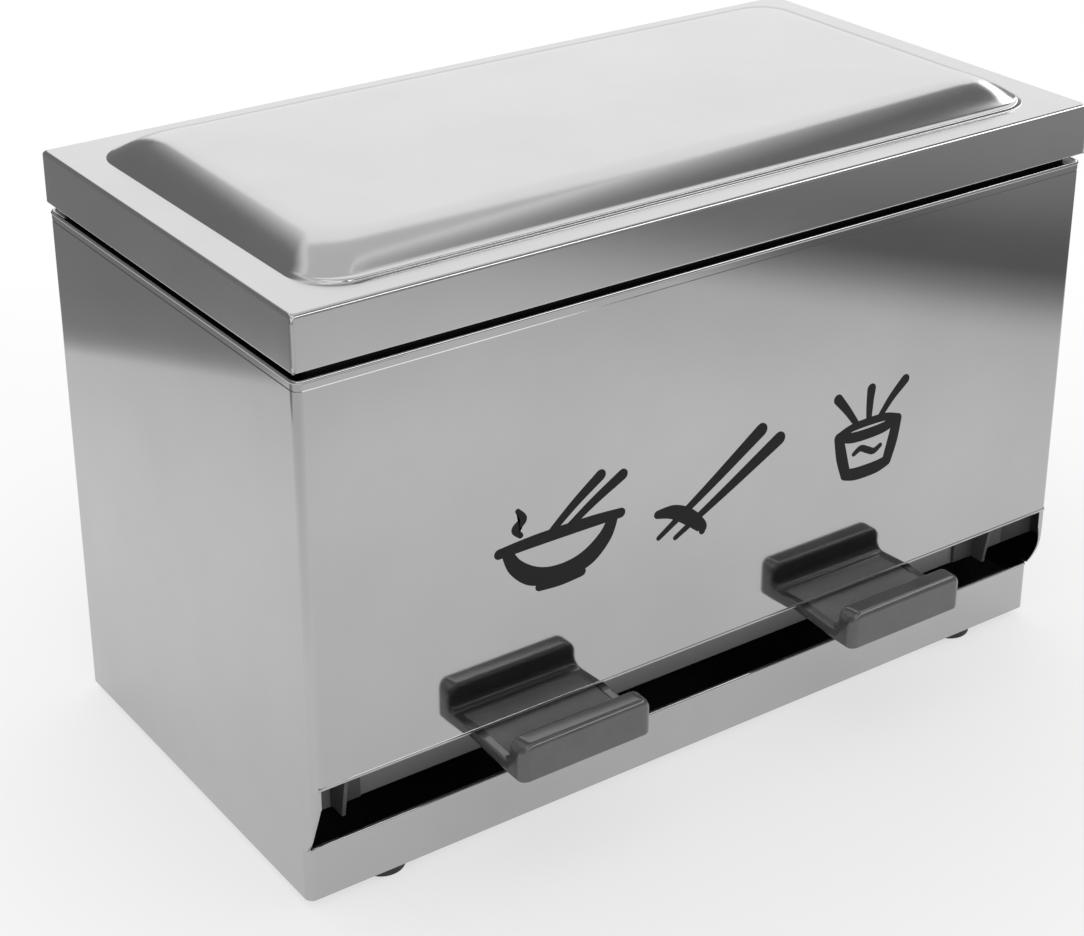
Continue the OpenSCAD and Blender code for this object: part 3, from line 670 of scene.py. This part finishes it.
def finger_outline():
    """Outline in y and z of the finger that rises through the hopper floor."""
    start = ROD_Y + WEB_INSET
    return (
        (start, FINGER_ROOT),
        (HOPPER_Y + FINGER_BEVEL, FINGER_ROOT + FINGER_BEVEL),
        (FINGER_Y - FINGER_CUT, TIP_Z - 2 * FINGER_CUT),
        (FINGER_Y, TIP_Z - FINGER_CUT),
        (FINGER_Y, TIP_Z - FINGER_BEVEL),
        (FINGER_Y - FINGER_BEVEL, TIP_Z),
        (FLOOR_END, lever_floor(FLOOR_END)),
        (start, lever_floor(start) - SUNK_IN),
    )


def rib_outline(lip_y):
    """Outline in y and z of a rib between the hub and the lip."""
    back = ROD_Y - WEB_INSET
    trough = lip_y + LIP_THICK
    base = lever_floor(lip_y) - FLOOR_THICK
    return (
        (back, RIB_ROOT),
        (back, lever_floor(back) - FLOOR_THICK + SUNK_IN),
        (trough - RIB_FRONT, base + SUNK_IN),
        (trough, base - RIB_DROP),
    )


def add_prism(build, outline, x0, x1):
    """Closed prism from x0 to x1 over an outline in y and z."""
    sides = [[build.verts.new((x, y, z)) for y, z in outline] for x in (x0, x1)]
    count = len(outline)
    build.faces.new(sides[0])
    build.faces.new(sides[1][::-1])
    for i in range(count):
        j = (i + 1) % count
        build.faces.new((sides[0][i], sides[0][j], sides[1][j], sides[1][i]))


def add_hub(build, x):
    """Hub with its bore, blended up into the floor."""
    rise = lever_floor(ROD_Y) - FLOOR_THICK + SUNK_IN - ROD_Z
    angles = [2 * math.pi * (k + 0.5) / HUB_STEPS for k in range(HUB_STEPS)]
    outer = []
    for a in angles:
        reach = HUB if math.sin(a) <= 0 else min(HUB / abs(math.cos(a)), rise / math.sin(a))
        outer.append((ROD_Y + reach * math.cos(a), ROD_Z + reach * math.sin(a)))
    inner = [(ROD_Y + BORE * math.cos(a), ROD_Z + BORE * math.sin(a)) for a in angles]
    left = x - HUB_HALF
    right = x + HUB_HALF
    loops = []
    for at, outline in ((left, outer), (right, outer), (right, inner), (left, inner)):
        loops.append([build.verts.new((at, y, z)) for y, z in outline])
    for first, second in zip(loops, loops[1:] + loops[:1]):
        for k in range(HUB_STEPS):
            m = (k + 1) % HUB_STEPS
            build.faces.new((first[k], first[m], second[m], second[k]))


def add_lever_skin(build, x, half, lip_y):
    """Lip, trough and floor, swept from end to end; the pocket's floor has the second material, a lighter
    copy of the plastic as painted light.
    """
    ends = [t * MM for t in END_ROWS]
    reach = half - ends[-1]
    places = [(t - half, t) for t in ends]
    places += [(2 * reach * k / MIDDLE_STEPS - reach, FAR_IN) for k in range(1, MIDDLE_STEPS)]
    places += [(half - t, t) for t in reversed(ends)]
    rings = [[build.verts.new((x + at, y, z)) for y, z in lever_ring(t, lip_y)] for at, t in places]
    count = len(rings[0])

    # Strips of the section that make the pocket's floor and its rear edge, which get the painted light
    pocket = (count - 4, count - 3)
    for row, (first, second) in enumerate(zip(rings, rings[1:])):
        lit_row = min(places[row][1], places[row + 1][1]) > LIT_POCKET_INSET
        for i in range(count):
            j = (i + 1) % count
            face = build.faces.new((first[i], first[j], second[j], second[i]))
            face.smooth = True
            if lit_row and i in pocket:
                face.material_index = 1
    for ring in (rings[0], rings[-1]):
        build.faces.new(ring).smooth = True


def make_lever(node):
    """Lever as one moulding: its skin, hub, finger and three ribs."""
    low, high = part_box(node)
    x = (low.x + high.x) / 2
    build = bmesh.new()
    add_lever_skin(build, x, (high.x - low.x) / 2, low.y)
    add_hub(build, x)
    add_prism(build, finger_outline(), x - FINGER_HALF, x + FINGER_HALF)
    for rib_x in (x - RIB_STEP, x, x + RIB_STEP):
        add_prism(build, rib_outline(low.y), rib_x - RIB_HALF, rib_x + RIB_HALF)
    bmesh.ops.recalc_face_normals(build, faces=build.faces)
    name = node.replace("press_lever", "lever_skin")
    mesh = bpy.data.meshes.new(name)
    build.to_mesh(mesh)
    build.free()
    piece = add_mesh(name, mesh, lever_grey, node.replace("press_lever", "lever"))
    piece.data.materials.append(lever_lit_pocket)
    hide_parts(node)


for node in ("press_lever_left", "press_lever_right"):
    make_lever(node)


# Pictograms in black paint: a bowl with sticks, a pair of sticks on a rest, a cup of sticks

SIGN_PROUD = 0.1 * MM
SIGN_LAYER = 0.04
SIGN_BOLD = 44 * MM
SIGN_LOW = 81 * MM
SIGN_HIGH = 30 * MM
STROKE_STEPS = 8
CAP_STEPS = 7

# Strokes: points as shares of the pictogram's width and height, and half widths as shares of SIGN_BOLD
BOWL = (
    ((0.04, 0.52, 0.035), (0.30, 0.535, 0.042), (0.70, 0.535, 0.042), (0.96, 0.52, 0.035)),
    ((0.10, 0.50, 0.040), (0.16, 0.33, 0.055), (0.28, 0.18, 0.065), (0.42, 0.12, 0.060),
     (0.58, 0.12, 0.060), (0.72, 0.18, 0.065), (0.84, 0.33, 0.055), (0.90, 0.50, 0.040)),
    ((0.34, 0.035, 0.032), (0.50, 0.030, 0.040), (0.66, 0.035, 0.032)),
    ((0.42, 0.56, 0.026), (0.60, 0.78, 0.032), (0.80, 0.99, 0.040)),
    ((0.56, 0.56, 0.026), (0.75, 0.74, 0.032), (0.97, 0.92, 0.040)),
    ((0.20, 0.64, 0.020), (0.16, 0.72, 0.028), (0.22, 0.80, 0.028), (0.18, 0.90, 0.018)),
)
STICKS = (
    ((0.03, 0.10, 0.018), (0.40, 0.46, 0.034), (0.82, 0.90, 0.050)),
    ((0.16, 0.04, 0.018), (0.54, 0.36, 0.034), (0.97, 0.74, 0.050)),
    ((0.02, 0.36, 0.030), (0.14, 0.33, 0.050), (0.26, 0.22, 0.058), (0.36, 0.07, 0.045),
     (0.37, 0.01, 0.025)),
)
CUP = (
    ((0.19, 0.51, 0.040), (0.23, 0.28, 0.047), (0.28, 0.07, 0.042)),
    ((0.81, 0.51, 0.040), (0.77, 0.28, 0.047), (0.72, 0.07, 0.042)),
    ((0.28, 0.065, 0.042), (0.40, 0.035, 0.048), (0.60, 0.035, 0.048), (0.72, 0.065, 0.042)),
    ((0.19, 0.52, 0.034), (0.35, 0.46, 0.040), (0.65, 0.46, 0.040), (0.81, 0.52, 0.034)),
    ((0.19, 0.53, 0.026), (0.35, 0.58, 0.030), (0.65, 0.58, 0.030), (0.81, 0.53, 0.026)),
    ((0.39, 0.57, 0.022), (0.27, 0.78, 0.030), (0.16, 0.95, 0.038)),
    ((0.50, 0.58, 0.022), (0.50, 0.78, 0.030), (0.51, 0.95, 0.038)),
    ((0.60, 0.57, 0.022), (0.73, 0.77, 0.030), (0.87, 0.93, 0.038)),
    ((0.36, 0.27, 0.018), (0.43, 0.31, 0.024), (0.50, 0.27, 0.026), (0.57, 0.23, 0.024),
     (0.64, 0.27, 0.018)),
)


# Name, strokes, left edge and width of each pictogram
SIGNS = (
    ("bowl_sign", BOWL, -80.5 * MM, 45 * MM),
    ("sticks_sign", STICKS, -25 * MM, 47 * MM),
    ("cup_sign", CUP, 37 * MM, 38 * MM),
)


def smooth_stroke(points):
    """Catmull-Rom points along a stroke, each with its half width."""
    rows = []
    ends = [points[0]] + list(points) + [points[-1]]
    for a, b, c, d in zip(ends, ends[1:], ends[2:], ends[3:]):
        for k in range(STROKE_STEPS):
            t = k / STROKE_STEPS
            rows.append([0.5 * (2 * q + (r - p) * t + (2 * p - 5 * q + 4 * r - s) * t * t
                                + (3 * q - p - 3 * r + s) * t ** 3) for p, q, r, s in zip(a, b, c, d)])
    rows.append(list(points[-1]))
    return rows


def round_cap(row, start):
    """Half circle of points round a stroke's end, clockwise from the angle start."""
    x, z, half = row
    angles = [start - math.pi * k / CAP_STEPS for k in range(1, CAP_STEPS)]
    return [(x + half * math.cos(a), z + half * math.sin(a)) for a in angles]


def stroke_outline(points):
    """Outline round a stroke with round ends."""
    rows = smooth_stroke(points)
    left = []
    right = []
    headings = []
    for i, (x, z, half) in enumerate(rows):
        before = rows[max(i - 1, 0)]
        after = rows[min(i + 1, len(rows) - 1)]
        heading = math.atan2(after[1] - before[1], after[0] - before[0])
        left.append((x - half * math.sin(heading), z + half * math.cos(heading)))
        right.append((x + half * math.sin(heading), z - half * math.cos(heading)))
        headings.append(heading)
    far_cap = round_cap(rows[-1], headings[-1] + math.pi / 2)
    near_cap = round_cap(rows[0], headings[0] - math.pi / 2)
    return left + far_cap + right[::-1] + near_cap


def make_sign(name, strokes, left_edge, wide):
    """Pictogram of flat painted strokes, each a little less proud of the panel than the last."""
    build = bmesh.new()
    for index, stroke in enumerate(strokes):
        outline = stroke_outline([(x * wide, z * SIGN_HIGH, half * SIGN_BOLD) for x, z, half in stroke])
        proud = SIGN_PROUD * (1 - SIGN_LAYER * index)
        front = [build.verts.new((left_edge + x, FRONT_Y - proud, SIGN_LOW + z)) for x, z in outline]
        back = [build.verts.new((v.co.x, FRONT_Y + SIGN_PROUD, v.co.z)) for v in front]
        build.faces.new(front)
        build.faces.new(back[::-1])
        count = len(front)
        for i in range(count):
            j = (i + 1) % count
            build.faces.new((front[i], front[j], back[j], back[i]))
    bmesh.ops.triangulate(build, faces=[face for face in build.faces if len(face.verts) > 4])
    bmesh.ops.recalc_face_normals(build, faces=build.faces)
    mesh = bpy.data.meshes.new(name)
    build.to_mesh(mesh)
    build.free()
    add_mesh(name, mesh, sign_black, "body")


for sign in SIGNS:
    make_sign(*sign)


# Springs: each a copy of its CAD spring in shaded steel, left where the CAD spring stands


def make_spring(name, node):
    """Return spring copied from its CAD node in shaded steel, standing in place of the node."""
    mesh = nodes[node].data.copy()
    mesh.materials.clear()
    mesh.materials.append(shaded_steel)
    piece = bpy.data.objects.new(name, mesh)
    scene.collection.objects.link(piece)
    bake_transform(piece)
    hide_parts(node)


for side in ("left", "right"):
    make_spring("wound_spring_" + side, "return_spring_" + side)


# Stage

def emission(tree, strength, grey):
    """Plain glow of a grey."""
    node = tree.nodes.new("ShaderNodeEmission")
    node.inputs["Strength"].default_value = strength
    tree.links.new(grey, node.inputs["Color"])
    return node.outputs["Emission"]


def shown(tree):
    """1 for camera, glossy and transmission rays."""
    path = tree.nodes.new("ShaderNodeLightPath")
    seen = maths(tree, "MAXIMUM", path.outputs["Is Camera Ray"], path.outputs["Is Glossy Ray"])
    return maths(tree, "MAXIMUM", seen, path.outputs["Is Transmission Ray"])


def make_world():
    """Pale sky: white where it is seen, a little softer as a light."""
    world = bpy.data.worlds.new("studio")
    scene.world = world
    world.use_nodes = True
    tree = world.node_tree
    tree.nodes.clear()
    out = tree.nodes.new("ShaderNodeOutputWorld")
    mix = tree.nodes.new("ShaderNodeMixShader")
    for socket, level in ((1, SKY_LIGHT), (2, SKY_SEEN)):
        sky = tree.nodes.new("ShaderNodeBackground")
        sky.inputs["Strength"].default_value = level
        tree.links.new(sky.outputs["Background"], mix.inputs[socket])
    tree.links.new(shown(tree), mix.inputs["Fac"])
    tree.links.new(mix.outputs["Shader"], out.inputs["Surface"])


def make_plane(name, corners):
    """Flat face over its corners."""
    mesh = bpy.data.meshes.new(name)
    mesh.from_pydata(corners, [], [tuple(range(len(corners)))])
    piece = bpy.data.objects.new(name, mesh)
    scene.collection.objects.link(piece)
    return piece


def soft_step(tree, value, low, high):
    """Soft step from 0 at low to 1 at high."""
    spread = tree.nodes.new("ShaderNodeMapRange")
    spread.interpolation_type = "SMOOTHSTEP"
    spread.inputs["From Min"].default_value = low
    spread.inputs["From Max"].default_value = high
    tree.links.new(value, spread.inputs["Value"])
    return spread.outputs["Result"]


def along(direction, across, forward, height=0.0):
    """Place across and forward of the middle, in axes turned to a compass direction."""
    ahead = Vector((-math.sin(direction), math.cos(direction), 0))
    side = Vector((math.cos(direction), math.sin(direction), 0))
    return side * across + ahead * forward + Vector((0, 0, height))


def make_floor():
    """Pale floor that shows the shadow near the object and its own glow further out, with painted shade
    darkening the glow in front.
    """
    half = FLOOR_SIZE / 2
    corners = [(-half, -half, 0), (half, -half, 0), (half, half, 0), (-half, half, 0)]
    floor = make_plane("floor", corners)
    material, tree, shader = new_material("floor_pale")
    shader.inputs["Base Color"].default_value = (FLOOR_GREY, FLOOR_GREY, FLOOR_GREY, 1)
    shader.inputs["Roughness"].default_value = FLOOR_ROUGH
    shader.inputs["Specular IOR Level"].default_value = FLOOR_GLOSS
    place = tree.nodes.new("ShaderNodeNewGeometry")
    length = tree.nodes.new("ShaderNodeVectorMath")
    length.operation = "LENGTH"
    tree.links.new(place.outputs["Position"], length.inputs[0])
    spread = soft_step(tree, length.outputs["Value"], PLAIN_FROM, PLAIN_TO)
    spread = maths(tree, "MULTIPLY_ADD", spread, 1 - PLAIN_LEAST, PLAIN_LEAST)
    forward = tree.nodes.new("ShaderNodeVectorMath")
    forward.operation = "DOT_PRODUCT"
    tree.links.new(place.outputs["Position"], forward.inputs[0])
    forward.inputs[1].default_value = along(SWEEP_TURN, 0, 1)
    # Painted shade: the floor's glow darkens in front of the object
    outer = soft_step(tree, length.outputs["Value"], POOL_FROM, POOL_TO)
    ahead = maths(tree, "SUBTRACT", 1.0, soft_step(tree, forward.outputs["Value"], *POOL_BACK))
    fall = maths(tree, "MULTIPLY", outer, ahead)
    level = maths(tree, "SUBTRACT", 1.0, maths(tree, "MULTIPLY", fall, POOL_FALL))
    mix = tree.nodes.new("ShaderNodeMixShader")
    tree.links.new(maths(tree, "MULTIPLY", spread, shown(tree)), mix.inputs["Fac"])
    tree.links.new(shader.outputs["BSDF"], mix.inputs[1])
    tree.links.new(emission(tree, 1.0, level), mix.inputs[2])
    out = next(n for n in tree.nodes if n.type == "OUTPUT_MATERIAL")
    tree.links.new(mix.outputs["Shader"], out.inputs["Surface"])
    floor.data.materials.append(material)


def make_card(name, across, stops):
    """Upright card that only reflections see; stops are (height, brightness) from the floor up."""
    near, far = CARD_ENDS
    top = stops[-1][0]
    brightest = max(level for height, level in stops)
    places = ((near, 0), (far, 0), (far, top), (near, top))
    card = make_plane(name, [along(SWEEP_TURN, across, forward, height) for forward, height in places])
    material = bpy.data.materials.new(name)
    material.use_nodes = True
    tree = material.node_tree
    tree.nodes.clear()
    out = tree.nodes.new("ShaderNodeOutputMaterial")
    place = tree.nodes.new("ShaderNodeNewGeometry")
    split = tree.nodes.new("ShaderNodeSeparateXYZ")
    tree.links.new(place.outputs["Position"], split.inputs["Vector"])
    height = maths(tree, "DIVIDE", split.outputs["Z"], top)
    grey = ramp(tree, height, [(at / top, level / brightest) for at, level in stops])
    tree.links.new(emission(tree, brightest, grey), out.inputs["Surface"])
    card.data.materials.append(material)
    card.visible_camera = False
    card.visible_diffuse = False
    card.visible_shadow = False
    card.visible_transmission = False


def make_lamp(name, direction, rise, distance, width, height, level):
    """Soft box at a compass direction and rise, with its face's brightness given against white."""
    data = bpy.data.lights.new(name, "AREA")
    data.shape = "RECTANGLE"
    data.size = width
    data.size_y = height
    data.energy = level * math.pi * width * height
    lamp = bpy.data.objects.new(name, data)
    scene.collection.objects.link(lamp)
    aim = Vector(LAMP_AIM)
    flat = along(direction, 0, distance * math.cos(rise))
    lamp.location = aim + flat + Vector((0, 0, distance * math.sin(rise)))
    lamp.rotation_mode = "QUATERNION"
    lamp.rotation_quaternion = (lamp.location - aim).to_track_quat("Z", "Y")
    lamp.visible_camera = False


def make_camera():
    """Camera at the photograph's place and framing."""
    data = bpy.data.cameras.new("camera")
    data.lens = CAMERA_LENS
    data.sensor_width = CAMERA_SENSOR
    data.shift_x, data.shift_y = CAMERA_SHIFT
    data.clip_start, data.clip_end = CAMERA_CLIP
    camera = bpy.data.objects.new("camera", data)
    scene.collection.objects.link(camera)
    camera.location = CAMERA_PLACE
    camera.rotation_euler = [math.radians(a) for a in CAMERA_TURN]
    scene.camera = camera


make_world()
make_floor()
make_card("card_right", SWEEP_HALF, RIGHT_STOPS)
make_card("card_left", -SWEEP_HALF, LEFT_STOPS)
for lamp in LAMPS:
    make_lamp(*lamp)
make_camera()
scene.view_settings.view_transform = "Standard"
